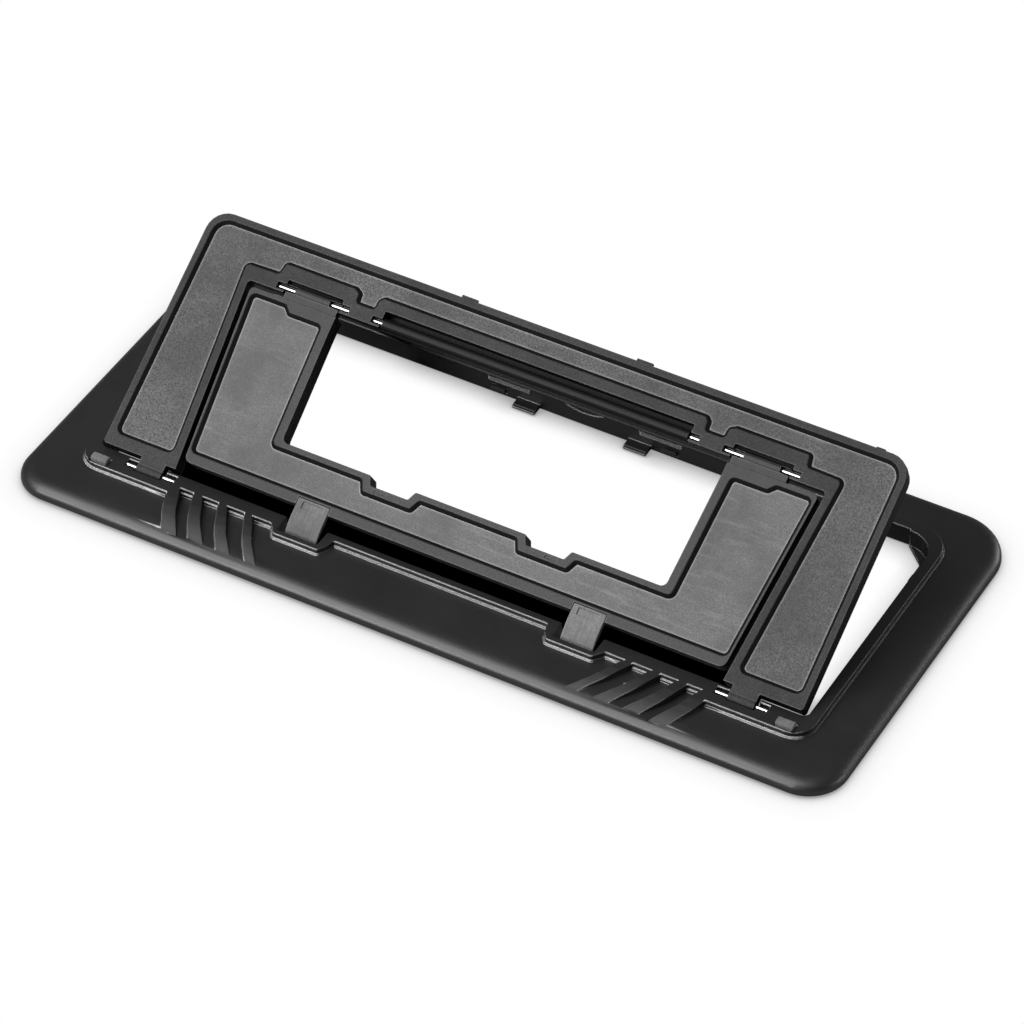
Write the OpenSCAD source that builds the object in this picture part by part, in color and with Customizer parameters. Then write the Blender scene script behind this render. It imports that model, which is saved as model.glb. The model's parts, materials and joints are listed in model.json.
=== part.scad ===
// Folding tilt frame: a flat bezel, a leaf hinged along its front edge, and two
// nested leaves hinged along the far edge of the first one. The last of them is
// the strut that stands on the bezel's back bar.
// Millimetres. +Z is up, +Y goes from the front edge to the back edge.
// Origin: centre of the bezel, on the table.
// The base is drawn with Y counted from a line just behind its front edge, then centred.
// Leaves are drawn lying flat in leaf space: X along the hinge, Y away from the
// front hinge axis, Z off the leaf's face, then tipped up into place.

/* [Show] */
// which piece to build
// facets on round parts
$fn = 48; // [24:8:96]

/* [Base] */
// overall width of the bezel
base_w = 282; // [280:1:300]
// overall depth, front to back
base_d = 130.4; // [130:0.2:138]
// plan radius of the bezel's front corners
front_corner = 13; // [10:1:14]
// plan radius of the bezel's back corners
back_corner = 18; // [14:0.5:19]
// height of the flat bezel surface
base_top = 4.9; // [4.7:0.1:5.2]
// height of the raised lip round the opening
lip_top = 7; // [6.95:0.05:7.2]
// height of the feet below the bezel
foot_gap = 0.3; // [0.2:0.1:0.4]

/* [Front hinge] */
// distance of the hinge axis from the drawing line, which is front_rim behind the edge
hinge_y = 20.86; // [20.8:0.02:21]
// height of the hinge axis
hinge_z = 5.98; // [5.94:0.02:6.02]
// tilt of the leaves as drawn
lean = 32.5; // [32.4:0.1:32.6]
// radius of every hinge pin
pin_r = 0.7; // [0.6:0.05:0.75]
// radial clearance of a knuckle on its pin
pin_gap = 0.06; // [0.04:0.01:0.09]

/* [Leaves] */
// half width of the outer leaf
leaf_half_w = 120.3; // [119.5:0.1:120.6]
// far edge of the outer leaf
leaf_far = 85; // [84.5:0.1:86]
// upper face above the hinge axis
leaf_top = 1.48; // [1.4:0.02:1.6]
// lower face, measured from the hinge axis
leaf_low = -4.73; // [-4.8:0.01:-4.5]
// plane where the two mouldings of a leaf meet
leaf_split = -1.9; // [-2:0.05:-1.8]
// depth of the sunk panels
panel_sink = 1.2; // [0.8:0.1:1.4]
// how far a panel's floor is drawn inside its outline
panel_wall = 0.65; // [0.4:0.05:0.7]
// far hinge axis, distance from the front hinge axis
far_v = 68.97; // [68.9:0.01:69.05]
// far hinge axis, height off the front hinge axis
far_w = -0.45; // [-0.5:0.01:-0.4]
// turn of the strut leaf out of the nested leaf
strut_open = 100.75; // [100.65:0.05:100.85]

/* [Hidden] */

arc_steps = 6;             // straight pieces in a rounded plan corner
eps = 0.01;                // overrun of a cut past the face it opens
big = 400;                 // longer than anything here
half_w = base_w / 2;
front_rim = 1.3;           // bezel in front of the line Y is counted from

// opening in the bezel
open_side = 121.8;         // half width between the side bars
open_front = 23.6;         // back face of the front bar
open_back = 110.2;         // front face of the back bar
ledge_in = 119.1;          // half width between the thin side ledges
ledge_top = 1.15;          // upper face of those ledges
lip_side = 125.3;          // outer face of the lip on the side bars
lip_back = 114.4;          // outer face of the lip on the back bar
lip_front = 15.2;          // front face of the lip at the corners
lip_grip = 18.7;           // front face of the lip behind the grips
lip_mid = 21;              // front face of the lip in the middle
bead_w = 0.45;             // width of the bead along the foot of the lip
bead_h = 0.45;             // height of that bead above the bezel
hollow_depth = 0.9;        // depth of the grips' hollows at the outer end of the lip

// underside
cover_t = 1.2;             // thickness of the cover ring
cover_gap = 0.1;           // plan gap round the cover ring
cover_out_x = 134.5;
cover_in_x = 126.6;
cover_front = 5.5;
cover_front_in = 12.4;
cover_back_in = 116.2;
cover_back = 121.8;
roof = 3.3;                // underside of the bezel's top skin
screw_r = 0.9;
screw_head_r = 1.8;
screw_head_h = 0.9;
screw_gap = 0.05;
boss_r = 2.6;

// hinge pockets of the base
tongue_in = 97.5;          // inner side of the outer leaf's tongue
tongue_out = 106.3;        // outer side of the tongue
side_gap = 0.4;            // sideways clearance of a knuckle
window_in = 93.1;          // inner end of the inner pin window
window_out = 110.2;        // outer end of the outer pin window
knuckle_r = 1.9;           // radius of every knuckle
knuckle_step = 0.45;       // how far a knuckle's web lies under the leaf's face

// nested leaves
gap = 1.5;                 // gap between nested leaves
hollow = 1.4;              // depth of the hollows in the back mouldings
far_bar = 67.1;            // front edge of the outer leaf's far bar
back_relief = 74.6;        // front edge of its lower moulding there
arm_low = 3.6;             // lower end of the outer leaf's arms
arm_in_low = 94;           // inner edge of the arms at the hinge
arm_in_far = 99.4;         // inner edge of the arms at the far bar
inner_front = 7;           // front edge of the nested leaf
inner_far = far_bar - gap; // its far edge
strut_half = 65.1;         // half width of the strut leaf
strut_reach = 45.1;        // its length from the far axis
tip_reach = 48.2;          // length to the foot tips

function unit(a) = a / norm(a);
function flat2(p) = [p[0], p[1]];

// points of one rounded corner; the third number of b is its radius
function corner_arc(a, b, c) =
    b[2] <= 0 ? [flat2(b)] :
    let (u1 = unit(flat2(a) - flat2(b)),
         u2 = unit(flat2(c) - flat2(b)),
         half = acos(u1 * u2) / 2,
         mid = flat2(b) + unit(u1 + u2) * (b[2] / sin(half)),
         first = flat2(b) + u1 * (b[2] / tan(half)) - mid,
         last = flat2(b) + u2 * (b[2] / tan(half)) - mid,
         a0 = atan2(first[1], first[0]),
         turn = (atan2(last[1], last[0]) - a0 + 540) % 360 - 180)
    [for (i = [0:arc_steps])
        mid + b[2] * [cos(a0 + turn * i / arc_steps), sin(a0 + turn * i / arc_steps)]];

// closed outline through corners given as [x, y, radius]
function rounded(p) =
    [for (i = [0:len(p) - 1])
        each corner_arc(p[(i + len(p) - 1) % len(p)], p[i], p[(i + 1) % len(p)])];

// right-hand half outline completed by its mirror image
function mirrored(p) =
    concat(p, [for (i = [len(p) - 1:-1:0]) [-p[i][0], p[i][1], p[i][2]]]);

function edge_dir(p, i) = unit(flat2(p[(i + 1) % len(p)]) - flat2(p[i]));

function winding(p) =
    [for (i = [0:len(p) - 1]) cross(flat2(p[i]), flat2(p[(i + 1) % len(p)]))]
    * [for (i = [0:len(p) - 1]) 1] > 0 ? 1 : -1;

// outline moved outwards by d, its rounded corners following
function grow(p, d) =
    let (s = winding(p))
    [for (i = [0:len(p) - 1])
        let (e1 = edge_dir(p, (i + len(p) - 1) % len(p)),
             e2 = edge_dir(p, i),
             n1 = s * [e1[1], -e1[0]],
             n2 = s * [e2[1], -e2[0]],
             shift = (n1 + n2) * d / (1 + n1 * n2),
             bulge = s * cross(e1, e2) > 0 ? d : -d)
        [p[i][0] + shift[0], p[i][1] + shift[1], p[i][2] + bulge]];

function box_path(x0, x1, y0, y1, r) = [[x0, y0, r], [x1, y0, r], [x1, y1, r], [x0, y1, r]];

module slab(path, z0, z1) {
    translate([0, 0, z0]) linear_extrude(z1 - z0) polygon(rounded(path));
}

// panel sunk into a leaf's face
module sink(path) {
    slab(grow(path, -panel_wall), leaf_top - panel_sink, leaf_top + 1);
}

module block(x0, x1, y0, y1, z0, z1) {
    translate([x0, y0, z0]) cube([x1 - x0, y1 - y0, z1 - z0]);
}

// solid with the given [y, z] side profile between two x positions
module side_prism(x0, x1, profile) {
    translate([x0, 0, 0]) rotate([90, 0, 90]) linear_extrude(x1 - x0) polygon(profile);
}

module rod(x0, x1, y, z, r) {
    translate([x0, y, z]) rotate([0, 90, 0]) cylinder(r = r, h = x1 - x0);
}

module both_sides() {
    children();
    mirror([1, 0, 0]) children();
}

// puts a piece drawn for the right-hand side on side s, which is 1 or -1
module on_side(s) {
    if (s > 0) children();
    else mirror([1, 0, 0]) children();
}

// moves a piece drawn from the drawing line to the centred origin
module on_base() {
    translate([0, front_rim - base_d / 2, 0]) children();
}

// tips a piece drawn flat in leaf space into place
module on_leaf() {
    on_base() translate([0, hinge_y, hinge_z]) rotate([lean, 0, 0]) children();
}

// turns the strut leaf out about the far hinge axis
module on_strut() {
    on_leaf() translate([0, far_v, far_w]) rotate([strut_open, 0, 0])
        translate([0, -far_v, -far_w]) children();
}

module screw(x, y, z, up, length) {
    translate([x, y, z]) rotate([up > 0 ? 0 : 180, 0, 0]) {
        cylinder(r1 = screw_head_r, r2 = screw_r, h = screw_head_h);
        cylinder(r = screw_r, h = length);
    }
}

module screw_hole(x, y, z, length) {
    translate([x, y, z - eps]) {
        cylinder(r1 = screw_head_r + screw_gap, r2 = screw_r + screw_gap, h = screw_head_h + eps);
        cylinder(r = screw_r + screw_gap, h = length + eps);
    }
}

// ---- base ----

rim_w = 6.5;               // width of the bezel's rounded rim
rim_z = 1.2;               // height where its rounding starts
rim_power = 2.6;           // fullness of the rounding; 2 is an ellipse

// section of the rim, w wide: distance in from the edge, height
function rim_section(w) = concat(
    [[1, foot_gap], [0.3, 0.6], [0, rim_z]],
    [for (a = [10:10:80]) [rim_w * (1 - pow(cos(a), 2 / rim_power)),
        rim_z + (base_top - rim_z) * pow(sin(a), 2 / rim_power)]],
    [[rim_w, base_top], [w, base_top], [w, foot_gap]]);

module rim_side(length) {
    // runs along +X, its outer edge on y = 0
    rotate([90, 0, 90]) linear_extrude(length) polygon(rim_section(back_corner));
}

module rim_corner(r) {
    // quarter of the rim round the origin, in the quadrant x > 0, y > 0
    rotate_extrude(angle = 90) polygon([for (p = rim_section(r)) [r - p[0], p[1]]]);
}

module bezel_blank() {
    front_x = half_w - front_corner;
    back_x = half_w - back_corner;
    translate([0, -front_rim, 0]) {
        block(-back_x, back_x, back_corner, base_d - back_corner, foot_gap, base_top);
        translate([-front_x, 0, 0]) rim_side(2 * front_x);
        translate([-back_x, base_d, 0]) mirror([0, 1, 0]) rim_side(2 * back_x);
        both_sides() {
            translate([half_w, front_corner, 0]) rotate([0, 0, 90])
                rim_side(base_d - front_corner - back_corner);
            translate([back_x, base_d - back_corner, 0]) rim_corner(back_corner);
            translate([front_x, front_corner, 0]) rotate([0, 0, -90]) rim_corner(front_corner);
        }
    }
}

lip_path = mirrored([
    [36.8, lip_mid, 0.8], [37.6, 17.6, 0.8], [39.3, 15.1, 1.2], [54.8, 15.1, 1.4],
    [57.5, lip_grip, 0.8], [90.6, lip_grip, 0], [90.6, lip_front, 0],
    [lip_side, lip_front, 7], [lip_side, lip_back, 10]]);

opening_path = mirrored([
    [open_side, open_front, 2.5], [open_side, open_back, 9]]);

ledge_path = mirrored([
    [ledge_in, open_front, 0.5], [ledge_in, 103.8, 2], [112.3, open_back, 0],
    [112.3, open_back + 0.6, 0]]);

// grip ribs: plan corners at the lip and at the front edge
rib_back = [[64.4, 67.4], [73.4, 76.6], [82.1, 85.4], [90, 94]];
rib_front = [[51.5, 55.8], [60.6, 66.2], [70.2, 76.3], [79.8, 85.8]];
rib_mid = 9.5;             // distance of the ribs' slight bend
rib_bend = 0.8;            // how far they bend outwards there

module grip_ribs() {
    intersection() {
        union() for (i = [0:3])
            slab([[rib_front[i][0], 0.6, 0.8], [rib_front[i][1], 0.6, 0.8],
                [(rib_front[i][1] + rib_back[i][1]) / 2 + rib_bend, rib_mid, 20],
                [rib_back[i][1], lip_grip + 1, 0], [rib_back[i][0], lip_grip + 1, 0],
                [(rib_front[i][0] + rib_back[i][0]) / 2 + rib_bend, rib_mid, 20]],
                base_top - 1.4, lip_top);
        // the ribs sink into the bezel towards the front edge
        side_prism(50, 95, [[0, 3], [0.6, 4.15], [3, 5], [6.5, 5.95], [10.5, 6.65],
            [14, lip_top], [lip_grip + 1, lip_top], [lip_grip + 1, 3]]);
    }
}

module grip_hollow() {
    // its floor rises to the bezel's surface towards the front and the middle
    intersection() {
        slab([[50, 22, 0], [50, -2, 0], [82, -2, 0], [87.3, rib_mid, 20], [91.6, 20, 0],
            [91.6, 22, 0]], base_top - 2, base_top + 1);
        translate([93, lip_grip, base_top - hollow_depth]) rotate([-1, 1.25, 0])
            block(-60, 10, -30, 10, 0, 5);
    }
}

module hinge_pocket() {
    // slot for the tongue, windows that bare the pin, and the pin's bore
    block(tongue_in - side_gap, tongue_out + side_gap, 18.6, open_front + 1, 3.4, lip_top + 1);
    block(window_in, tongue_in, 19.4, 22.4, 4.9, lip_top + 1);
    block(tongue_out, window_out, 19.4, 22.4, 4.9, lip_top + 1);
    rod(90.4, 112.9, hinge_y, hinge_z, pin_r + screw_gap);
}

seat_in = 19.6;            // inner end of a prop seat
seat_out = 33.9;           // outer end of a prop seat

module base_cavity() {
    // hollow between the top skin and the cover, and the cover's own recess
    difference() {
        slab(box_path(-cover_out_x, cover_out_x, cover_front, cover_back, 8), foot_gap - 1,
            foot_gap + cover_t);
        slab(box_path(-cover_in_x, cover_in_x, cover_front_in, cover_back_in, 4), foot_gap - 2,
            foot_gap + cover_t + 1);
    }
    difference() {
        slab(box_path(-cover_out_x + 1.2, cover_out_x - 1.2, cover_front + 1.2,
            cover_back - 1.2, 7), foot_gap + cover_t - eps, roof);
        slab(box_path(-cover_in_x - 1.2, cover_in_x + 1.2, cover_front_in - 1.2,
            cover_back_in + 1.2, 5), foot_gap, roof + 1);
        for (p = screw_places) translate([p[0], p[1], 0]) cylinder(r = boss_r, h = roof + 1);
    }
}

screw_places = [for (x = [-130, -45, 45, 130], y = [9, 118.4]) [x, y]];

module catch_hook() {
    // ledge at the foot of the back bar
    side_prism(15.6, 23.6, [[open_back + 1, foot_gap], [open_back - 3.2, foot_gap],
        [open_back - 3.4, 1], [open_back - 2.4, 1.6], [open_back + 1, 2]]);
}

module base_frame() {
    color([0.05, 0.05, 0.055]) on_base() difference() {
        union() {
            difference() {
                union() {
                    difference() {
                        bezel_blank();
                        both_sides() grip_hollow();
                    }
                    slab(lip_path, base_top - 1.5, lip_top);
                    slab(grow(lip_path, bead_w), base_top - 1.5, base_top + bead_h);
                }
                slab(opening_path, ledge_top, lip_top + 1);
                slab(ledge_path, foot_gap - 1, lip_top);
            }
            both_sides() grip_ribs();
            both_sides() catch_hook();
            // small stop on each side wall
            both_sides() block(open_side - 0.7, open_side + 0.5, 90.7, 94.1, ledge_top, 6.2);
        }
        both_sides() {
            hinge_pocket();
            // notch that lets the nested leaf's tip pass
            block(40.4, 54.6, 17.3, open_front + 1, foot_gap - 1, lip_top + 1);
            // sloping seat for the strut's foot tip
            side_prism(seat_in, seat_out, [[open_back - 1, 3.8], [open_back, 3.8],
                [open_back + 1.8, lip_top + eps], [open_back - 1, lip_top + eps]]);
            // recess for the seat insert
            block(27.6, 32.8, open_back - 1, open_back + 0.8, 1.6, 3.5);
            // recess under the rest pad
            block(114.8, 120.6, 15.9, 19.1, lip_top - 0.5, lip_top + 1);
        }
        // finger scoop in the middle of the back bar's lip
        translate([0, open_back - 1, lip_top + 16]) rotate([-90, 0, 0])
            cylinder(r = 17.7, h = 8);
        base_cavity();
        for (p = screw_places) translate([p[0], p[1], 0])
            cylinder(r = screw_r + screw_gap, h = foot_gap + cover_t + 2.2);
    }
}

foot_x = 130.5;
foot_half_w = 2.9;
foot_half_l = 13;
foot_t = 0.8;              // thickness of a foot strip

module foot_plan(y, grow) {
    x0 = foot_x - foot_half_w - grow;
    x1 = foot_x + foot_half_w + grow;
    slab(box_path(x0, x1, y - foot_half_l - grow, y + foot_half_l + grow, 2.4), 0,
        foot_t + grow);
}

foot_front_y = 32;
foot_back_y = 96;

module base_cover() {
    color([0.08, 0.08, 0.085]) on_base() difference() {
        slab(box_path(-cover_out_x + cover_gap, cover_out_x - cover_gap,
            cover_front + cover_gap, cover_back - cover_gap, 7.9), foot_gap, foot_gap + cover_t);
        slab(box_path(-cover_in_x - cover_gap, cover_in_x + cover_gap,
            cover_front_in - cover_gap, cover_back_in + cover_gap, 4.1), 0, foot_gap + cover_t + 1);
        both_sides() for (y = [foot_front_y, foot_back_y]) foot_plan(y, 0.1);
        for (p = screw_places) screw_hole(p[0], p[1], foot_gap, cover_t + 1);
    }
}

module base_screws() {
    color([0.25, 0.25, 0.27]) on_base() for (p = screw_places) screw(p[0], p[1], foot_gap, 1, 3);
}

module base_foot(s, y) {
    color([0.1, 0.1, 0.1]) on_base() on_side(s) foot_plan(y, 0);
}

module rest_pad(s) {
    color([0.45, 0.45, 0.45]) on_base() on_side(s)
        side_prism(114.9, 120.5, [[16, lip_top - 0.5], [19, lip_top - 0.5], [19, 8.2],
            [18.4, 8.6], [16.6, 8.6], [16, 8]]);
}

module prop_seat(s) {
    color([0.4, 0.4, 0.4]) on_base() on_side(s)
        block(27.7, 32.7, open_back - 0.3, open_back + 0.7, 1.7, 3.4);
}

module base_pin(s) {
    color([0.75, 0.75, 0.77]) on_base() on_side(s) rod(90.6, 112.7, hinge_y, hinge_z, pin_r);
}

// ---- outer leaf, drawn flat ----

outer_path = mirrored([
    [arm_in_low + 0.2, arm_low, 0], [leaf_half_w, arm_low, 1], [leaf_half_w, leaf_far, 7]]);

// space inside the outer leaf: arms taper outwards to the far bar
outer_window = mirrored([
    [arm_in_low, -20, 0], [arm_in_low, 2, 0], [arm_in_far, far_bar, 1.2],
    [87, far_bar, 0.3], [87, 71.4, 0.3], [67.4, 71.4, 0.3], [67.4, far_bar, 0.3],
    [53.1, far_bar, 0.3], [53.1, 72.6, 0.3]]);

outer_panel = mirrored([
    [55.5, 76.5, 1.2], [56.8, 75.2, 1.2], [57, 72.2, 1.1], [63.2, 72.2, 1.1],
    [63.5, 75.3, 1.2], [65.5, 76.4, 1.2], [90.3, 76.4, 1.2], [91, 72.5, 1.1],
    [102.8, 72.2, 1.8], [97.5, 8, 2], [117.7, 8, 2.4], [117.7, 82.4, 5]]);

module outer_lug_cuts() {
    // bore of the long pin, and the windows in the lugs that bare it
    both_sides() {
        rod(45, 92.2, far_v, far_w, pin_r + screw_gap);
        block(86.9, 90, far_v - 1, far_v + 1, far_w - 0.1, leaf_top + 1);
        block(64.4, 67.5, far_v - 1, far_v + 1, far_w - 0.1, leaf_top + 1);
        block(53, 56.4, far_v - 1, far_v + 1, far_w - 0.1, leaf_top + 1);
    }
}

outer_screw_places = [for (x = [-111, -80, -30, 30, 80, 111]) [x, 80],
    for (x = [-109, 109]) [x, 22]];

module tongue() {
    // knuckle on the front axis and the web that carries it
    difference() {
        union() {
            rod(tongue_in, tongue_out, 0, 0, knuckle_r);
            side_prism(tongue_in, tongue_out, [[0, leaf_split + 0.4], [arm_low + 1, leaf_split],
                [arm_low + 1, leaf_top], [0.9, leaf_top], [0, leaf_split + 0.8]]);
        }
        rod(tongue_in - 1, tongue_out + 1, 0, 0, pin_r + pin_gap);
    }
}

module outer_leaf_shell() {
    color([0.16, 0.16, 0.17]) on_leaf() {
        difference() {
            union() {
                slab(outer_path, leaf_split, leaf_top);
                // small stops on the far edge
                both_sides() block(27.4, 32.9, leaf_far - 1, leaf_far + 1, -0.6, 0.6);
                block(107.5, 110.5, leaf_far - 1, leaf_far + 0.6, -0.4, 0.6);
            }
            slab(outer_window, leaf_split - 1, leaf_top + 1);
            sink(outer_panel);
            outer_lug_cuts();
            both_sides() rod(tongue_in - 1, tongue_out + 1, 0, 0, pin_r + pin_gap);
            for (p = outer_screw_places) translate([p[0], p[1], leaf_split - eps])
                cylinder(r = screw_r + screw_gap, h = 1.3);
        }
        both_sides() tongue();
    }
}

outer_back_window = mirrored([
    [arm_in_low, -20, 0], [arm_in_low, 2, 0], [arm_in_far + 0.6, back_relief, 1.5]]);

module outer_leaf_back() {
    color([0.1, 0.1, 0.105]) on_leaf() difference() {
        slab(mirrored([[arm_in_low + 0.2, arm_low, 0], [leaf_half_w - 0.3, arm_low, 1],
            [leaf_half_w - 0.3, leaf_far - 0.3, 6.7]]), leaf_low, leaf_split);
        slab(outer_back_window, leaf_low - 1, leaf_split + 1);
        // hollow behind each arm and behind the far bar
        both_sides() slab([[99.5, 26, 1], [115, 26, 1], [115, 72, 1], [103.5, 72, 1]],
            leaf_split - hollow, leaf_split + 1);
        block(-76, -34, 77, 82.5, leaf_split - hollow, leaf_split + 1);
        block(34, 76, 77, 82.5, leaf_split - hollow, leaf_split + 1);
        for (p = outer_screw_places) screw_hole(p[0], p[1], leaf_low, -leaf_low + leaf_split + 1);
    }
}

module outer_leaf_screws() {
    color([0.25, 0.25, 0.27]) on_leaf() for (p = outer_screw_places)
        screw(p[0], p[1], leaf_low, 1, leaf_split - leaf_low + 1.1);
}

module leaf_pin(s) {
    color([0.75, 0.75, 0.77]) on_leaf() on_side(s) rod(45.2, 92, far_v, far_w, pin_r);
}

// ---- nested leaf, drawn flat ----

taper = (arm_in_far - arm_in_low) / (far_bar - 2);   // widening of the arms per mm
function arm_edge(v) = arm_in_low + (v - 2) * taper - gap;

window_low = 23.4;         // front edge of the nested leaf's window
notch_low = 20.4;          // floor of the two notches in it

inner_path = mirrored([
    [arm_edge(inner_front), inner_front, 2.5], [arm_edge(inner_far), inner_far, 1.5]]);

inner_window = mirrored([
    [19, window_low, 0.8], [20.4, notch_low, 0.8], [33.2, notch_low, 0.8],
    [34.6, window_low, 0.8], [65.8, window_low, 2], [67.3, 60, 0], [67.6, 90, 0]]);

inner_panel = mirrored([
    [16.6, 21.2, 1.1], [18.4, 17.6, 1.1], [35.2, 17.6, 1.1], [37, 21.2, 1.1],
    [69, 21.2, 2], [70.8, 61.4, 1.6], [82.4, 61.4, 1.2], [84.6, 63.6, 1.2],
    [arm_edge(63) - 1.3, 63.6, 1.6], [arm_edge(10.7) - 1.3, 10.7, 1.8]]);

module inner_knuckle() {
    difference() {
        union() {
            rod(67.8, 86.6, far_v, far_w, knuckle_r);
            block(67.8, 86.6, inner_far - 1, far_v, leaf_split, leaf_top - knuckle_step);
        }
        rod(66, 88, far_v, far_w, pin_r + pin_gap);
        // windows that bare the pin at both ends of the knuckle
        block(83.5, 88, far_v - 1, far_v + 1, far_w - 0.1, leaf_top + 1);
        block(66, 71.2, far_v - 1, far_v + 1, far_w - 0.1, leaf_top + 1);
    }
}

inner_screw_places = [[-88, 15], [-28, 13], [28, 13], [88, 15], [-92, 57], [92, 57]];

tip_in = 42;               // inner side of a nested leaf tip
tip_out = 53;              // outer side

module tip_recess() {
    block(tip_in - 0.1, tip_out + 0.1, inner_front - 1, 9.5, -0.4, leaf_top + 1);
}

module inner_leaf_shell() {
    color([0.2, 0.2, 0.21]) on_leaf() {
        difference() {
            slab(inner_path, leaf_split, leaf_top);
            slab(inner_window, leaf_split - 1, leaf_top + 1);
            sink(inner_panel);
            both_sides() tip_recess();
            // marks in the two notches
            both_sides() block(27.4, 31.4, 18.85, 19.65, leaf_top - 0.35, leaf_top + 1);
            for (p = inner_screw_places) translate([p[0], p[1], leaf_split - eps])
                cylinder(r = screw_r + screw_gap, h = 1.3);
        }
        both_sides() inner_knuckle();
    }
}

module inner_leaf_back() {
    color([0.1, 0.1, 0.105]) on_leaf() difference() {
        slab(mirrored([[arm_edge(inner_front) - 0.3, inner_front + 0.3, 2.3],
            [arm_edge(inner_far) - 0.3, inner_far, 1.5]]), leaf_low, leaf_split);
        slab(inner_window, leaf_low - 1, leaf_split + 1);
        both_sides() slab([[72, 27, 1], [90, 27, 1], [92, 50, 1], [73, 50, 1]],
            leaf_split - hollow, leaf_split + 1);
        for (p = inner_screw_places) screw_hole(p[0], p[1], leaf_low, -leaf_low + leaf_split + 1);
    }
}

module inner_leaf_screws() {
    color([0.25, 0.25, 0.27]) on_leaf() for (p = inner_screw_places)
        screw(p[0], p[1], leaf_low, 1, leaf_split - leaf_low + 1.1);
}

module inner_tip(s) {
    // pale tab that curves down over the notch in the bezel's lip
    color([0.45, 0.45, 0.45]) on_leaf() on_side(s) difference() {
        side_prism(tip_in, tip_out, [[9.4, -0.35], [9.4, leaf_top], [4.5, leaf_top],
            [2.2, 1.25], [0.3, 0.85], [-1.3, 0.3], [-2.4, -0.3], [-2, -1.1], [-0.6, -0.6],
            [1.2, -0.35], [3.2, -0.35]]);
        block(44, 51, 6.4, 8.6, leaf_top - 0.5, leaf_top + 1);
    }
}

// ---- strut leaf, drawn flat ----

strut_low = far_v - strut_reach;
strut_tip_low = far_v - tip_reach;
strut_sink = 0.8;          // depth of the strut's sunk panel
field_w = 24;              // width of a sunk field in the strut's back
field_sink = 1.2;          // its depth

strut_path = mirrored([
    [18.2, strut_low, 0], [strut_half, strut_low, 2], [strut_half + 0.8, inner_far, 1]]);

module strut_barrel() {
    difference() {
        union() {
            rod(-52.7, 52.7, far_v, far_w, knuckle_r);
            block(-52.7, 52.7, inner_far - 1, far_v, leaf_split, leaf_top - knuckle_step);
        }
        both_sides() rod(44, 54, far_v, far_w, pin_r + pin_gap);
    }
}

strut_screw_places = [[-55, 32], [0, 32], [55, 32], [-40, 58], [40, 58]];

module prop_leaf_shell() {
    color([0.12, 0.12, 0.125]) on_strut() {
        difference() {
            slab(strut_path, leaf_split, leaf_top);
            slab(box_path(-61, 61, strut_low + 4, 61, 2.5), leaf_top - strut_sink, leaf_top + 1);
            for (p = strut_screw_places) translate([p[0], p[1], leaf_split - eps])
                cylinder(r = screw_r + screw_gap, h = 1.3);
            both_sides() block(19.9, 33.7, strut_low - 1, strut_low + 3.1, -3, leaf_top + 1);
        }
        strut_barrel();
    }
}

module prop_leaf_back() {
    color([0.1, 0.1, 0.105]) on_strut() difference() {
        slab(mirrored([[18.2, strut_low + 1, 0], [strut_half - 0.3, strut_low + 1, 2],
            [strut_half + 0.5, inner_far, 1]]), leaf_low, leaf_split);
        // three sunk fields with ribs left between them
        for (x = [-48, -12, 24])
            block(x, x + field_w, 37, 53, leaf_low - 1, leaf_low + field_sink);
        for (p = strut_screw_places) screw_hole(p[0], p[1], leaf_low, -leaf_low + leaf_split + 1);
    }
}

module prop_leaf_screws() {
    color([0.25, 0.25, 0.27]) on_strut() for (p = strut_screw_places)
        screw(p[0], p[1], leaf_low, 1, leaf_split - leaf_low + 1.1);
}

module prop_tip(s) {
    color([0.3, 0.3, 0.3]) on_strut() on_side(s)
        side_prism(20.8, 32.8, [[strut_low + 3, leaf_split + 0.05], [strut_low + 3, leaf_top],
            [strut_tip_low + 0.2, leaf_top], [strut_tip_low, leaf_top - 0.2],
            [strut_tip_low, leaf_top - 0.8], [strut_low + 0.6, leaf_split + 0.05]]);
}

base_frame();
base_cover();
base_screws();
base_foot(-1, foot_front_y);  // base_foot_front_left
base_foot(1, foot_front_y);  // base_foot_front_right
base_foot(-1, foot_back_y);  // base_foot_back_left
base_foot(1, foot_back_y);  // base_foot_back_right
rest_pad(-1);  // rest_pad_left
rest_pad(1);  // rest_pad_right
prop_seat(-1);  // prop_seat_left
prop_seat(1);  // prop_seat_right
base_pin(-1);  // base_pin_left
base_pin(1);  // base_pin_right
outer_leaf_shell();
outer_leaf_back();
outer_leaf_screws();
leaf_pin(-1);  // leaf_pin_left
leaf_pin(1);  // leaf_pin_right
inner_leaf_shell();
inner_leaf_back();
inner_leaf_screws();
inner_tip(-1);  // inner_tip_left
inner_tip(1);  // inner_tip_right
prop_leaf_shell();
prop_leaf_back();
prop_leaf_screws();
prop_tip(-1);  // prop_tip_left
prop_tip(1);  // prop_tip_right
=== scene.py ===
"""Looks, light and camera for the folding tilt frame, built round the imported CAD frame."""
import json
import math

import bpy
import bmesh
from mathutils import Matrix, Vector
from mathutils.noise import noise as noise_at


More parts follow.
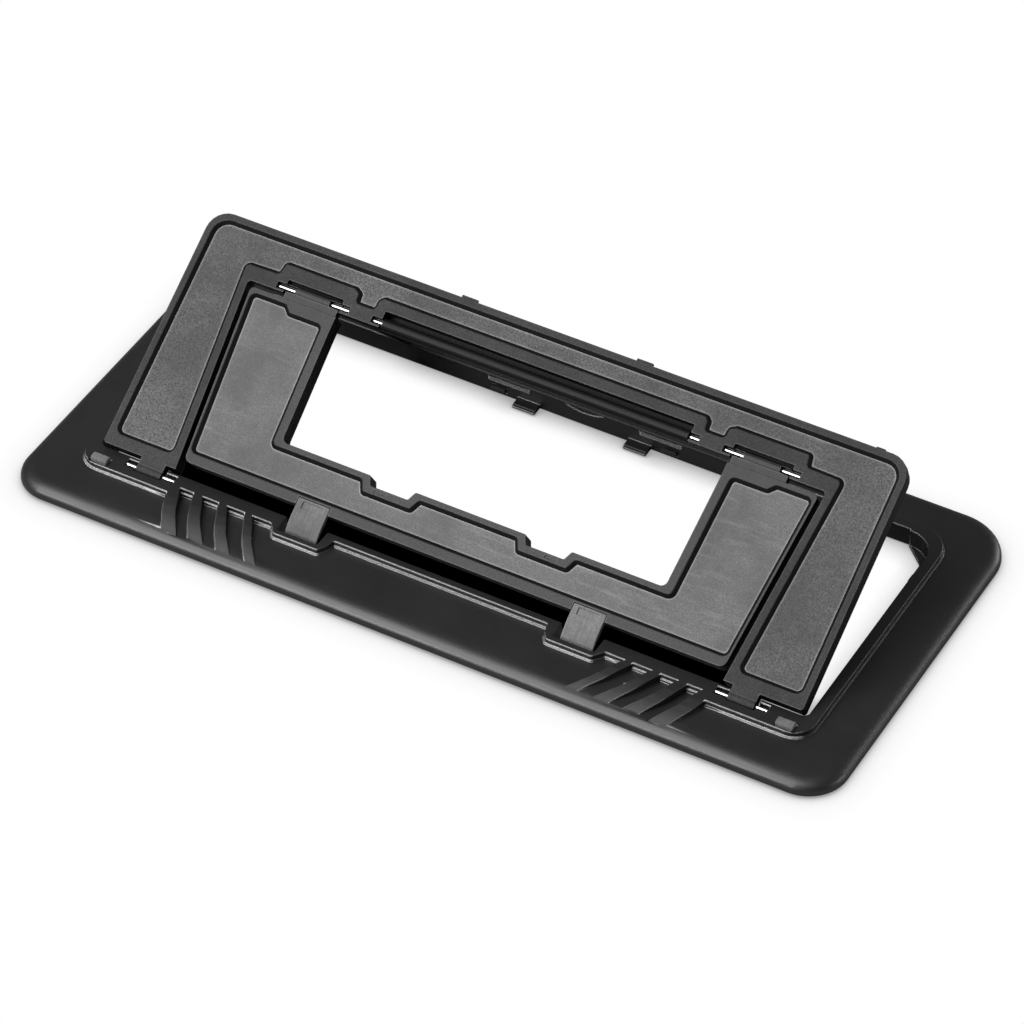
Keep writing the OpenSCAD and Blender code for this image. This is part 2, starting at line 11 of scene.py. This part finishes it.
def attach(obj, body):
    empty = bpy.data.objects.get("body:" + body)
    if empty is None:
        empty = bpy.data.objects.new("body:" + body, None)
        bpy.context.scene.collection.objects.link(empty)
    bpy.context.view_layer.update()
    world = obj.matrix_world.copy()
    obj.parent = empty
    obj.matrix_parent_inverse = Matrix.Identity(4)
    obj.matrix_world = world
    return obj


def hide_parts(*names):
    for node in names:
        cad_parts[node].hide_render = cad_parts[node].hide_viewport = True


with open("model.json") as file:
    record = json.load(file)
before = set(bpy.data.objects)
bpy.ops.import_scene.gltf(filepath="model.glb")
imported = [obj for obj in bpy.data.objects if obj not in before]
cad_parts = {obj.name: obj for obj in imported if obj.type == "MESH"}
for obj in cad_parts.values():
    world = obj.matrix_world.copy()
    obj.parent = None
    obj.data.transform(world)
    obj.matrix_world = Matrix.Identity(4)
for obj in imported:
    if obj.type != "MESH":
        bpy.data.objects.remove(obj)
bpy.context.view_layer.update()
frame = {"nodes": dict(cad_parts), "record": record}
MM = 0.001
EDGE_LOOK = 0.4 * MM                   # how far from an edge wear and glints reach
TO_FRONT_LIGHT = (-0.10, -0.76, 0.64)  # direction that catches the front light


# ---------------------------------------------------------------- materials
def node(tree, kind, **inputs):
    made = tree.nodes.new(kind)
    for key, value in inputs.items():
        made.inputs[key.replace("_", " ")].default_value = value
    return made


def link(tree, a, a_out, b, b_in):
    tree.links.new(a.outputs[a_out], b.inputs[b_in])


def ramp(tree, source, out, stops):
    made = tree.nodes.new("ShaderNodeValToRGB")
    while len(made.color_ramp.elements) < len(stops):
        made.color_ramp.elements.new(0.5)
    for element, (place, value) in zip(made.color_ramp.elements, stops):
        element.position = place
        element.color = (*value, 1) if isinstance(value, tuple) else (value, value, value, 1)
    link(tree, source, out, made, "Fac")
    return made


def mix(tree, kind, fac, a, b):
    made = tree.nodes.new("ShaderNodeMix")
    made.data_type = "RGBA"
    made.blend_type = kind
    for value, key in ((fac, 0), (a, 6), (b, 7)):
        if isinstance(value, tuple) and len(value) == 2:
            tree.links.new(value[0].outputs[value[1]], made.inputs[key])
        elif isinstance(value, (tuple, float, int)):
            made.inputs[key].default_value = value
    return made


def noise(tree, coords, scale, detail=3.0, rough=0.6):
    made = node(tree, "ShaderNodeTexNoise", Scale=scale, Detail=detail, Roughness=rough)
    link(tree, coords, "Object", made, "Vector")
    return made


def moulded_plastic(name, colour, roughness, grain_mm, grain_depth, smudge, edge_wear_and_highlight, specular=0.5,
                    round_mm=0.18, dust=0.0, grain_mix=0.35, glint=0.0):
    """Injection-moulded plastic: fine grain, cloudy sheen, softened edges that are lighter where
    worn and where a highlight is painted on.

    grain_mix is how much the grain darkens the colour, smudge how strong the clouds are,
    glint how bright the edges are that face the front light, dust the share of pale flecks."""
    mat = bpy.data.materials.new(name)
    mat.use_nodes = True
    tree = mat.node_tree
    tree.nodes.clear()
    out = tree.nodes.new("ShaderNodeOutputMaterial")
    bsdf = node(tree, "ShaderNodeBsdfPrincipled", Roughness=roughness)
    bsdf.inputs["Specular IOR Level"].default_value = specular
    link(tree, bsdf, 0, out, 0)
    coords = tree.nodes.new("ShaderNodeTexCoord")
    cloud = noise(tree, coords, 38, 5, 0.65)
    fine = noise(tree, coords, 1 / (grain_mm * MM), 3, 0.8)
    speck = noise(tree, coords, 0.4 / (grain_mm * MM), 6, 0.75)
    # colour: base, cloudy variation, lighter along worn edges, partly a painted highlight
    light = tuple(min(1, c * (1 + smudge)) for c in colour)
    dark = tuple(c * (1 - smudge) for c in colour)
    base = mix(tree, "MIX", (ramp(tree, cloud, "Fac", [(0.38, 0.0), (0.6, 1.0)]), "Color"),
               (*dark, 1), (*light, 1))
    grainy = mix(tree, "MULTIPLY", grain_mix, (base, 2),
                 (ramp(tree, fine, "Fac", [(0.36, 0.08), (0.62, 1.0)]), "Color"))
    geometry = tree.nodes.new("ShaderNodeNewGeometry")
    rounded = node(tree, "ShaderNodeBevel", Radius=EDGE_LOOK)
    rounded.samples = 4
    dot = tree.nodes.new("ShaderNodeVectorMath")
    dot.operation = "DOT_PRODUCT"
    link(tree, rounded, "Normal", dot, 0)
    link(tree, geometry, "True Normal", dot, 1)
    edge = ramp(tree, dot, "Value", [(0.80, 1.0), (0.985, 0.0)])
    # edge mask broken by specks: worn edges, partly a painted highlight along them
    worn = mix(tree, "MULTIPLY", 1.0, (edge, "Color"),
               (ramp(tree, speck, "Fac", [(0.35, 0.15), (0.6, 1.0)]), "Color"))
    wear_and_highlight_colour = tuple(min(1, c * (1 + edge_wear_and_highlight) + 0.01 * edge_wear_and_highlight) for c in colour)
    final = mix(tree, "MIX", (worn, 2), (grainy, 2), (*wear_and_highlight_colour, 1))
    if glint:
        # thin catch of light along the edges that face the front
        facing = tree.nodes.new("ShaderNodeVectorMath")
        facing.operation = "DOT_PRODUCT"
        link(tree, rounded, "Normal", facing, 0)
        facing.inputs[1].default_value = TO_FRONT_LIGHT
        lit = ramp(tree, facing, "Value", [(0.72, 0.0), (0.90, 1.0)])
        thin = ramp(tree, dot, "Value", [(0.935, 1.0), (0.985, 0.0)])
        line = mix(tree, "MULTIPLY", 1.0, (lit, "Color"), (thin, "Color"))
        broken = mix(tree, "MULTIPLY", 0.3, (line, 2),
                     (ramp(tree, speck, "Fac", [(0.40, 0.2), (0.56, 1.0)]), "Color"))
        final = mix(tree, "ADD", glint, (final, 2), (broken, 2))
    if dust:
        up = tree.nodes.new("ShaderNodeSeparateXYZ")
        link(tree, geometry, "Normal", up, 0)
        fleck = node(tree, "ShaderNodeTexVoronoi", Scale=420.0)
        link(tree, coords, "Object", fleck, "Vector")
        spots = ramp(tree, fleck, "Distance", [(0.0, 1.0), (0.035, 0.0)])
        final = mix(tree, "ADD", dust, (final, 2), (spots, "Color"))
    link(tree, final, 2, bsdf, "Base Color")
    # roughness follows the cloud and the grain
    rough = tree.nodes.new("ShaderNodeMapRange")
    rough.inputs["To Min"].default_value = max(0.05, roughness - 0.07)
    rough.inputs["To Max"].default_value = min(1, roughness + 0.07)
    link(tree, cloud, "Fac", rough, "Value")
    link(tree, rough, 0, bsdf, "Roughness")
    round_normal = node(tree, "ShaderNodeBevel", Radius=round_mm * MM)
    round_normal.samples = 6
    bump = node(tree, "ShaderNodeBump", Strength=1.0, Distance=grain_depth * MM)
    link(tree, fine, "Fac", bump, "Height")
    link(tree, round_normal, "Normal", bump, "Normal")
    link(tree, bump, "Normal", bsdf, "Normal")
    return mat


def painted_border_highlight(mat, strength):
    """Painted highlight: a pale line on a sunk panel, in the corner where its sloping wall begins.
    """
    tree = mat.node_tree
    bsdf = next(n for n in tree.nodes if n.type == "BSDF_PRINCIPLED")
    source = bsdf.inputs["Base Color"].links[0].from_socket
    corner = node(tree, "ShaderNodeAmbientOcclusion", Distance=0.9 * MM)
    corner.samples = 12
    corner.only_local = True
    lined = mix(tree, "ADD", strength, (1.0, 1.0, 1.0, 1.0),
                (ramp(tree, corner, "AO", [(0.88, 1.0), (0.97, 0.0)]), "Color"))
    tree.links.new(source, lined.inputs[6])
    link(tree, lined, 2, bsdf, "Base Color")


def smears(mat, strength):
    """Light slanting wipe marks, gathered in patches."""
    tree = mat.node_tree
    bsdf = next(n for n in tree.nodes if n.type == "BSDF_PRINCIPLED")
    source = bsdf.inputs["Base Color"].links[0].from_socket
    coords = tree.nodes.new("ShaderNodeTexCoord")
    slant = node(tree, "ShaderNodeMapping")
    slant.inputs["Rotation"].default_value = (0, 0, math.radians(28))
    slant.inputs["Scale"].default_value = (45, 520, 45)
    link(tree, coords, "Object", slant, "Vector")
    lines = node(tree, "ShaderNodeTexNoise", Scale=1.0, Detail=5.0, Roughness=0.7)
    link(tree, slant, 0, lines, "Vector")
    patches = noise(tree, coords, 22, 2)
    marks = mix(tree, "MULTIPLY", 1.0,
                (ramp(tree, lines, "Fac", [(0.52, 0.0), (0.70, 1.0)]), "Color"),
                (ramp(tree, patches, "Fac", [(0.46, 0.0), (0.60, 1.0)]), "Color"))
    wiped = mix(tree, "ADD", strength, (1.0, 1.0, 1.0, 1.0), (marks, 2))
    tree.links.new(source, wiped.inputs[6])
    link(tree, wiped, 2, bsdf, "Base Color")


def steel(name):
    """Drawn steel pin: fine lines along its length, faint stain."""
    mat = bpy.data.materials.new(name)
    mat.use_nodes = True
    tree = mat.node_tree
    bsdf = tree.nodes["Principled BSDF"]
    bsdf.inputs["Metallic"].default_value = 1.0
    coords = tree.nodes.new("ShaderNodeTexCoord")
    stretch = node(tree, "ShaderNodeMapping")
    stretch.inputs["Scale"].default_value = (60, 2500, 2500)
    link(tree, coords, "Object", stretch, "Vector")
    lines = node(tree, "ShaderNodeTexNoise", Scale=1.0, Detail=3.0)
    link(tree, stretch, 0, lines, "Vector")
    stain = noise(tree, coords, 400, 3)
    tint = mix(tree, "MIX", (ramp(tree, stain, "Fac", [(0.35, 0.0), (0.75, 1.0)]), "Color"),
               (0.70, 0.70, 0.71, 1), (0.45, 0.44, 0.43, 1))
    link(tree, tint, 2, bsdf, "Base Color")
    link(tree, ramp(tree, lines, "Fac", [(0.3, 0.16), (0.7, 0.34)]), "Color", bsdf, "Roughness")
    bump = node(tree, "ShaderNodeBump", Strength=0.5, Distance=0.01 * MM)
    link(tree, lines, "Fac", bump, "Height")
    link(tree, bump, "Normal", bsdf, "Normal")
    return mat


def grip_rubber(name, colour, streak):
    """Rubber: moulded_plastic with a coarse grain, plus streaks set by the noise scales."""
    mat = moulded_plastic(name, colour, 0.72, 0.35, 0.09, 0.25, 0.25, 0.35, 0.25)
    tree = mat.node_tree
    bsdf = next(n for n in tree.nodes if n.type == "BSDF_PRINCIPLED")
    source = bsdf.inputs["Base Color"].links[0].from_socket
    coords = tree.nodes.new("ShaderNodeTexCoord")
    stretch = node(tree, "ShaderNodeMapping")
    stretch.inputs["Scale"].default_value = streak
    link(tree, coords, "Object", stretch, "Vector")
    lines = node(tree, "ShaderNodeTexNoise", Scale=1.0, Detail=4.0, Roughness=0.7)
    link(tree, stretch, 0, lines, "Vector")
    worn = mix(tree, "MULTIPLY", 0.3, (1.0, 1.0, 1.0, 1.0),
               (ramp(tree, lines, "Fac", [(0.38, 0.35), (0.55, 1.0)]), "Color"))
    tree.links.new(source, worn.inputs[6])
    link(tree, worn, 2, bsdf, "Base Color")
    return mat


MATS = {
    "base": moulded_plastic("base_plastic", (0.015, 0.015, 0.016), 0.38, 0.45, 0.05, 0.10, 1.5,
                            1.0, grain_mix=0.25, glint=1.1),
    "underside": moulded_plastic("under_plastic", (0.012, 0.012, 0.013), 0.5, 0.5, 0.02, 0.15, 1.5,
                                 0.2),
    "outer_leaf": moulded_plastic("outer_rim", (0.060, 0.060, 0.061), 0.48, 0.5, 0.05, 0.25, 1.0,
                                  0.22, grain_mix=0.7, glint=0.22),
    "inner_leaf": moulded_plastic("inner_rim", (0.056, 0.056, 0.057), 0.42, 0.5, 0.03, 0.2, 0.8,
                                  0.35, grain_mix=0.6, glint=0.24),
    "prop_leaf": moulded_plastic("prop_plastic", (0.010, 0.010, 0.011), 0.42, 0.45, 0.02, 0.12, 2.0,
                                 0.22, glint=0.12),
    "pad": grip_rubber("grip_rubber", (0.28, 0.28, 0.28), (1600, 150, 150)),
    "tip": grip_rubber("tip_rubber", (0.06, 0.06, 0.06), (1600, 150, 150)),
    "rubber": grip_rubber("foot_rubber", (0.02, 0.02, 0.02), (300, 300, 300)),
    "pin": steel("pin_steel"),
    "screw": moulded_plastic("screw_black", (0.05, 0.05, 0.052), 0.35, 0.3, 0.01, 0.1, 1.2, 0.6),
}
OUTER_PANEL = moulded_plastic("outer_panel", (0.118, 0.118, 0.120), 0.44, 0.55, 0.10, 0.40, 0.3,
                              dust=0.08, grain_mix=1.0, glint=0.26)
INNER_PANEL = moulded_plastic("inner_panel", (0.126, 0.126, 0.128), 0.36, 0.45, 0.04, 0.36, 0.3,
                              dust=0.06, grain_mix=0.7, glint=0.26)
# painted highlight along the border of both sunk panels
for sunk in (OUTER_PANEL, INNER_PANEL):
    painted_border_highlight(sunk, 0.20)
smears(INNER_PANEL, 0.09)
# painted shade: a darker copy of the leaf plastic for the leaves' sides and sloping walls, which
# face away from the lights
PAINTED_SHADE_SIDE = moulded_plastic("leaf_side_painted_shade", (0.010, 0.010, 0.0105), 0.5, 0.5, 0.02, 0.12, 1.2, 0.2)
SLOT_OF = {s["node"]: s["material_slot"] for s in frame["record"]["subparts"]}
BODY_OF = {n: b for b, ns in frame["record"]["behaviour"]["bodies"].items() for n in ns}

# ---------------------------------------------------------------- mouldings
# The leaves' frame, as drawn in the CAD source: hinge lines, and heights off the front hinge.
LEAN = math.radians(32.5)
HINGE = Vector((0, -43.04, 5.98)) * MM
LEAF_TOP, PANEL_FLOOR = 1.48 * MM, 0.28 * MM
UP = Vector((0, -math.sin(LEAN), math.cos(LEAN)))
ALONG = Vector((0, math.cos(LEAN), math.sin(LEAN)))
FAR_HINGE = HINGE + ALONG * 68.97 * MM - UP * 0.45 * MM
DRAWN_FROM = Vector((0, -63.9, 0)) * MM
BORE = 0.85 * MM                       # edges this close to a hinge line stay as they are
PANEL_SLOPE_MM = 1.199                 # run of a panel's sloping wall, just under its depth


def height(point):
    """Height of a point off the front hinge axis, square to the raised leaves."""
    return (point - HINGE).dot(UP)


def near(a, b, tolerance=0.02 * MM):
    return abs(a - b) < tolerance


def bevel(bm, edges, width, segments):
    bmesh.ops.bevel(bm, geom=edges, offset=width * MM, offset_type="OFFSET", segments=segments,
                    profile=0.5, affect="EDGES", clamp_overlap=False)


def panel_rim(bm):
    """Top edges of the walls that drop from a leaf's face to its sunk panel."""
    found = []
    for edge in bm.edges:
        if not all(near(height(v.co), LEAF_TOP) for v in edge.verts):
            continue
        for face in edge.link_faces:
            if abs(face.normal.dot(UP)) < 0.1 and near(min(height(v.co) for v in face.verts),
                                                       PANEL_FLOOR):
                found.append(edge)
                break
    return found


def weld(bm, across=(), along=(), leaf=True, flat_deg=0.4):
    """Joins the flat faces of a CAD mesh. Cuts through its openings, at these distances either
    side of x = 0 and along the leaf or base, leave no face with a hole in it."""
    bmesh.ops.remove_doubles(bm, verts=bm.verts, dist=0.002 * MM)
    away = ALONG if leaf else Vector((0, 1, 0))
    start = HINGE if leaf else DRAWN_FROM
    planes = [(Vector((x * MM, 0, 0)), Vector((1, 0, 0)))
              for x in sorted({sign * cut for cut in across for sign in (-1, 1)})]
    planes += [(start + away * v * MM, away) for v in along]
    for point, normal in planes:
        made = bmesh.ops.bisect_plane(bm, geom=bm.verts[:] + bm.edges[:] + bm.faces[:],
                                      dist=1e-7, plane_co=point, plane_no=normal)
        for part in made["geom_cut"]:
            if isinstance(part, bmesh.types.BMEdge):
                part.seam = True
    bmesh.ops.dissolve_limit(bm, angle_limit=math.radians(flat_deg), verts=bm.verts,
                             edges=bm.edges, delimit={"SEAM"})
    bm.normal_update()


def off_axis(point, axis):
    """Distance of a point from a hinge line along X."""
    return math.hypot(point.y - axis.y, point.z - axis.z)


def sharp_edges(bm, angle_deg=32):
    """The outward edges; inward corners stay crisp in the mesh."""
    return [e for e in bm.edges if len(e.link_faces) == 2 and e.is_convex
            and e.calc_face_angle(0) > math.radians(angle_deg)
            and all(off_axis(v.co, axis) > BORE for v in e.verts for axis in (HINGE, FAR_HINGE))]


def finish_piece(name, bm, suffix, smooth_deg=38):
    mesh = bpy.data.meshes.new(name + suffix)
    bm.to_mesh(mesh)
    bm.free()
    for polygon in mesh.polygons:
        polygon.use_smooth = True
    mesh.set_sharp_from_angle(angle=math.radians(smooth_deg))
    made = bpy.data.objects.new(name + suffix, mesh)
    bpy.context.scene.collection.objects.link(made)
    made.data.materials.append(MATS[SLOT_OF[name]])
    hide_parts(name)
    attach(made, BODY_OF[name])
    return made


def moulding(name, edge_mm=0.2, segments=2, across=(), along=(), panel=None):
    """A finished copy of a CAD node: welded, panel walls sloped, edges rounded.

    across and along are the cuts of weld(), in mm; panel is the material of a sunk panel."""
    bm = bmesh.new()
    bm.from_mesh(frame["nodes"][name].data)
    weld(bm, across, along, BODY_OF[name] != "base")
    if panel:
        bevel(bm, panel_rim(bm), PANEL_SLOPE_MM, 1)
        bmesh.ops.remove_doubles(bm, verts=bm.verts, dist=0.01 * MM)
        bm.normal_update()
    bevel(bm, sharp_edges(bm), edge_mm, segments)
    made = finish_piece(name, bm, "_moulding")
    flat = (UP, Vector((1, 0, 0)), Vector((0, 0, 1)), Vector((0, 1, 0)))
    for polygon in made.data.polygons:
        if polygon.area > 0.4 * MM * MM and max(abs(polygon.normal.dot(a)) for a in flat) > 0.9998:
            polygon.use_smooth = False
    weighted = made.modifiers.new("weighted", "WEIGHTED_NORMAL")
    weighted.keep_sharp = True
    weighted.weight = 60
    if panel:
        made.data.materials.append(panel)
        made.data.materials.append(PAINTED_SHADE_SIDE)
        for polygon in made.data.polygons:
            up = polygon.normal.dot(UP)
            if up > 0.9 and near(height(polygon.center), PANEL_FLOOR, 0.12 * MM):
                polygon.material_index = 1
            # faces that turn away from the leaf's face get the painted-shade side material
            elif up < 0.8:
                polygon.material_index = 2
    return made


def soft_piece(name, edge_mm, cell_mm, roughen_mm, seed):
    """Rubber or grip piece in its own mesh: rounded, finely divided and slightly uneven."""
    bm = bmesh.new()
    bm.from_mesh(frame["nodes"][name].data)
    weld(bm, flat_deg=2)
    bevel(bm, sharp_edges(bm, 20), edge_mm, 3)
    bmesh.ops.triangulate(bm, faces=bm.faces)
    for _ in range(5):
        long_edges = [e for e in bm.edges if e.calc_length() > cell_mm * MM]
        if not long_edges:
            break
        bmesh.ops.subdivide_edges(bm, edges=long_edges, cuts=1)
        bmesh.ops.triangulate(bm, faces=bm.faces)
    bm.normal_update()
    shifts = []
    for v in bm.verts:
        wave = noise_at((v.co * 1500) + Vector((seed, seed, seed)))
        fine_wave = noise_at((v.co * 5000) + Vector((seed, 0, seed)))
        shifts.append(v.normal * (0.65 * wave + 0.35 * fine_wave - 0.25) * roughen_mm * MM)
    for v, shift in zip(bm.verts, shifts):
        v.co += shift
    return finish_piece(name, bm, "_soft", 50)


# Edge radius in mm, segments, then the places of the cuts that keep faces free of holes.
moulding("base_frame", 0.3, 3, (0, 30.2, 45, 102, 112, 117.5, 130), (17.5, 50))
moulding("base_cover", 0.1, 1, (0, 45, 130))
moulding("outer_leaf_shell", 0.2, 2, (0, 30), (22, 80), OUTER_PANEL)
moulding("inner_leaf_shell", 0.2, 2, (0, 28, 29.4), (15, 57, 69.3), INNER_PANEL)
moulding("prop_leaf_shell", 0.2, 2, (0, 40, 55))
moulding("outer_leaf_back", 0.25, 2, (0, 55), (22, 80))
moulding("inner_leaf_back", 0.25, 2, (0, 28), (15, 40, 57))
moulding("prop_leaf_back", 0.25, 2, (0, 36, 40, 55))
for mould in ("base_screws", "outer_leaf_screws", "inner_leaf_screws", "prop_leaf_screws"):
    moulding(mould, 0.06, 1)
for side in ("left", "right"):
    moulding("base_pin_" + side, 0.12, 2)
    moulding("leaf_pin_" + side, 0.12, 2)
for number, (soft, edge) in enumerate((("rest_pad", 0.3), ("prop_seat", 0.25), ("inner_tip", 0.22),
                                       ("prop_tip", 0.3), ("base_foot_front", 0.3),
                                       ("base_foot_back", 0.3))):
    for side in ("left", "right"):
        seed = 3.7 * number + (1.3 if side == "left" else 0)
        soft_piece(soft + "_" + side, edge, 0.7, 0.07, seed)


# ---------------------------------------------------------------- stage
FLOOR_HALF = 3.0
SLOT_Y = -0.032            # middle of the slot behind the bezel's front bar
SLOT_REACH = (0.012, 0.016)    # half depth where the shade starts to fade, and where it ends
SLOT_HALF = (0.100, 0.106)     # the same along X


def soft_floor():
    """White floor with a painted faint contact shadow and painted shade in the slot behind the
    front bar.
    """
    mesh = bpy.data.meshes.new("floor")
    mesh.from_pydata([(-FLOOR_HALF, -FLOOR_HALF, 0), (FLOOR_HALF, -FLOOR_HALF, 0),
                      (FLOOR_HALF, FLOOR_HALF, 0), (-FLOOR_HALF, FLOOR_HALF, 0)],
                     [], [(0, 1, 2, 3)])
    floor = bpy.data.objects.new("floor", mesh)
    bpy.context.scene.collection.objects.link(floor)
    mat = bpy.data.materials.new("floor_white")
    mat.use_nodes = True
    tree = mat.node_tree
    tree.nodes.clear()
    out = tree.nodes.new("ShaderNodeOutputMaterial")
    paper = tree.nodes.new("ShaderNodeBsdfDiffuse")
    paper.inputs["Color"].default_value = (0.35, 0.35, 0.35, 1)
    shine = node(tree, "ShaderNodeEmission", Strength=1.0)
    contact = node(tree, "ShaderNodeAmbientOcclusion", Distance=0.010)
    contact.samples = 8
    deep = node(tree, "ShaderNodeAmbientOcclusion", Distance=0.045)
    deep.samples = 24
    # painted full shade in the narrow slot behind the front lip
    place = tree.nodes.new("ShaderNodeNewGeometry")
    axes = tree.nodes.new("ShaderNodeSeparateXYZ")
    link(tree, place, "Position", axes, 0)
    slot = node(tree, "ShaderNodeMapRange", From_Min=SLOT_REACH[0], From_Max=SLOT_REACH[1],
                To_Min=1.0, To_Max=0.0)
    offset = tree.nodes.new("ShaderNodeMath")
    offset.operation = "ADD"
    offset.inputs[1].default_value = -SLOT_Y
    link(tree, axes, "Y", offset, 0)
    away = tree.nodes.new("ShaderNodeMath")
    away.operation = "ABSOLUTE"
    link(tree, offset, 0, away, 0)
    link(tree, away, 0, slot, "Value")
    wide = tree.nodes.new("ShaderNodeMath")
    wide.operation = "ABSOLUTE"
    link(tree, axes, "X", wide, 0)
    inside = node(tree, "ShaderNodeMapRange", From_Min=SLOT_HALF[0], From_Max=SLOT_HALF[1],
                  To_Min=1.0, To_Max=0.0)
    link(tree, wide, 0, inside, "Value")
    both = tree.nodes.new("ShaderNodeMath")
    both.operation = "MULTIPLY"
    link(tree, inside, "Result", both, 0)
    link(tree, slot, "Result", both, 1)
    # only where the floor is seen from the front, over the bezel's front bar
    sight = tree.nodes.new("ShaderNodeSeparateXYZ")
    link(tree, place, "Incoming", sight, 0)
    front = node(tree, "ShaderNodeMapRange", From_Min=-0.35, From_Max=-0.15, To_Min=1.0,
                 To_Max=0.0)
    link(tree, sight, "Y", front, "Value")
    seen = tree.nodes.new("ShaderNodeMath")
    seen.operation = "MULTIPLY"
    link(tree, both, 0, seen, 0)
    link(tree, front, "Result", seen, 1)
    shaded = mix(tree, "MIX", (seen, 0), (1.0, 1.0, 1.0, 1.0),
                 (ramp(tree, deep, "AO", [(0.74, 0.0), (0.86, 1.0)]), "Color"))
    # painted contact shadow near the object
    soft = mix(tree, "MULTIPLY", 1.0, (shaded, 2),
               (ramp(tree, contact, "AO", [(0.35, 0.35), (0.95, 1.0)]), "Color"))
    link(tree, soft, 2, shine, "Color")
    path = tree.nodes.new("ShaderNodeLightPath")
    pick = tree.nodes.new("ShaderNodeMixShader")
    link(tree, path, "Is Camera Ray", pick, 0)
    link(tree, paper, 0, pick, 1)
    link(tree, shine, 0, pick, 2)
    link(tree, pick, 0, out, 0)
    mesh.materials.append(mat)


def area_light(name, place, aim, size, power):
    data = bpy.data.lights.new(name, "AREA")
    data.shape = "RECTANGLE"
    data.size, data.size_y = size
    data.energy = power
    lamp = bpy.data.objects.new(name, data)
    bpy.context.scene.collection.objects.link(lamp)
    lamp.location = place
    lamp.rotation_mode = "QUATERNION"
    lamp.rotation_quaternion = (Vector(aim) - Vector(place)).to_track_quat("-Z", "Y")


def studio_world():
    """White to the camera, dim to the object."""
    world = bpy.data.worlds.new("studio")
    world.use_nodes = True
    tree = world.node_tree
    back = tree.nodes["Background"]
    back.inputs[0].default_value = (1, 1, 1, 1)
    path = tree.nodes.new("ShaderNodeLightPath")
    level = tree.nodes.new("ShaderNodeMapRange")
    level.inputs["To Min"].default_value = 0.10
    level.inputs["To Max"].default_value = 1.0
    link(tree, path, "Is Camera Ray", level, "Value")
    link(tree, level, 0, back, "Strength")
    bpy.context.scene.world = world


soft_floor()
studio_world()
CENTRE = (0.0, 0.0, 0.02)
area_light("top_soft", (-0.45, -0.41, 1.15), CENTRE, (1.0, 1.0), 11)
area_light("front_soft", (-0.6, -1.26, 0.85), CENTRE, (0.8, 0.35), 10)
area_light("back_fill", (0.7, 1.25, 0.3), CENTRE, (0.7, 0.5), 4.0)
area_light("right_edge", (1.3, 0.44, 0.35), CENTRE, (0.4, 0.4), 2.0)

# ---------------------------------------------------------------- camera
AZIMUTH, ELEVATION = math.radians(29.32), math.radians(42.40)
TARGET = Vector((6.769, -10.829, 12.776)) * MM
back = Vector((math.sin(AZIMUTH) * math.cos(ELEVATION), -math.cos(AZIMUTH) * math.cos(ELEVATION),
               math.sin(ELEVATION)))
cam_data = bpy.data.cameras.new("camera")
SENSOR, FOCAL_PX, FRAME_PX, DISTANCE = 36, 5230.2, 1024, 1575.4 * MM
cam_data.sensor_width = SENSOR
cam_data.lens = SENSOR * FOCAL_PX / FRAME_PX
cam_data.clip_start, cam_data.clip_end = 0.05, 20
camera = bpy.data.objects.new("camera", cam_data)
bpy.context.scene.collection.objects.link(camera)
camera.location = TARGET + back * DISTANCE
camera.rotation_mode = "QUATERNION"
camera.rotation_quaternion = (-back).to_track_quat("-Z", "Y")
bpy.context.scene.camera = camera
bpy.context.scene.view_settings.view_transform = "Standard"
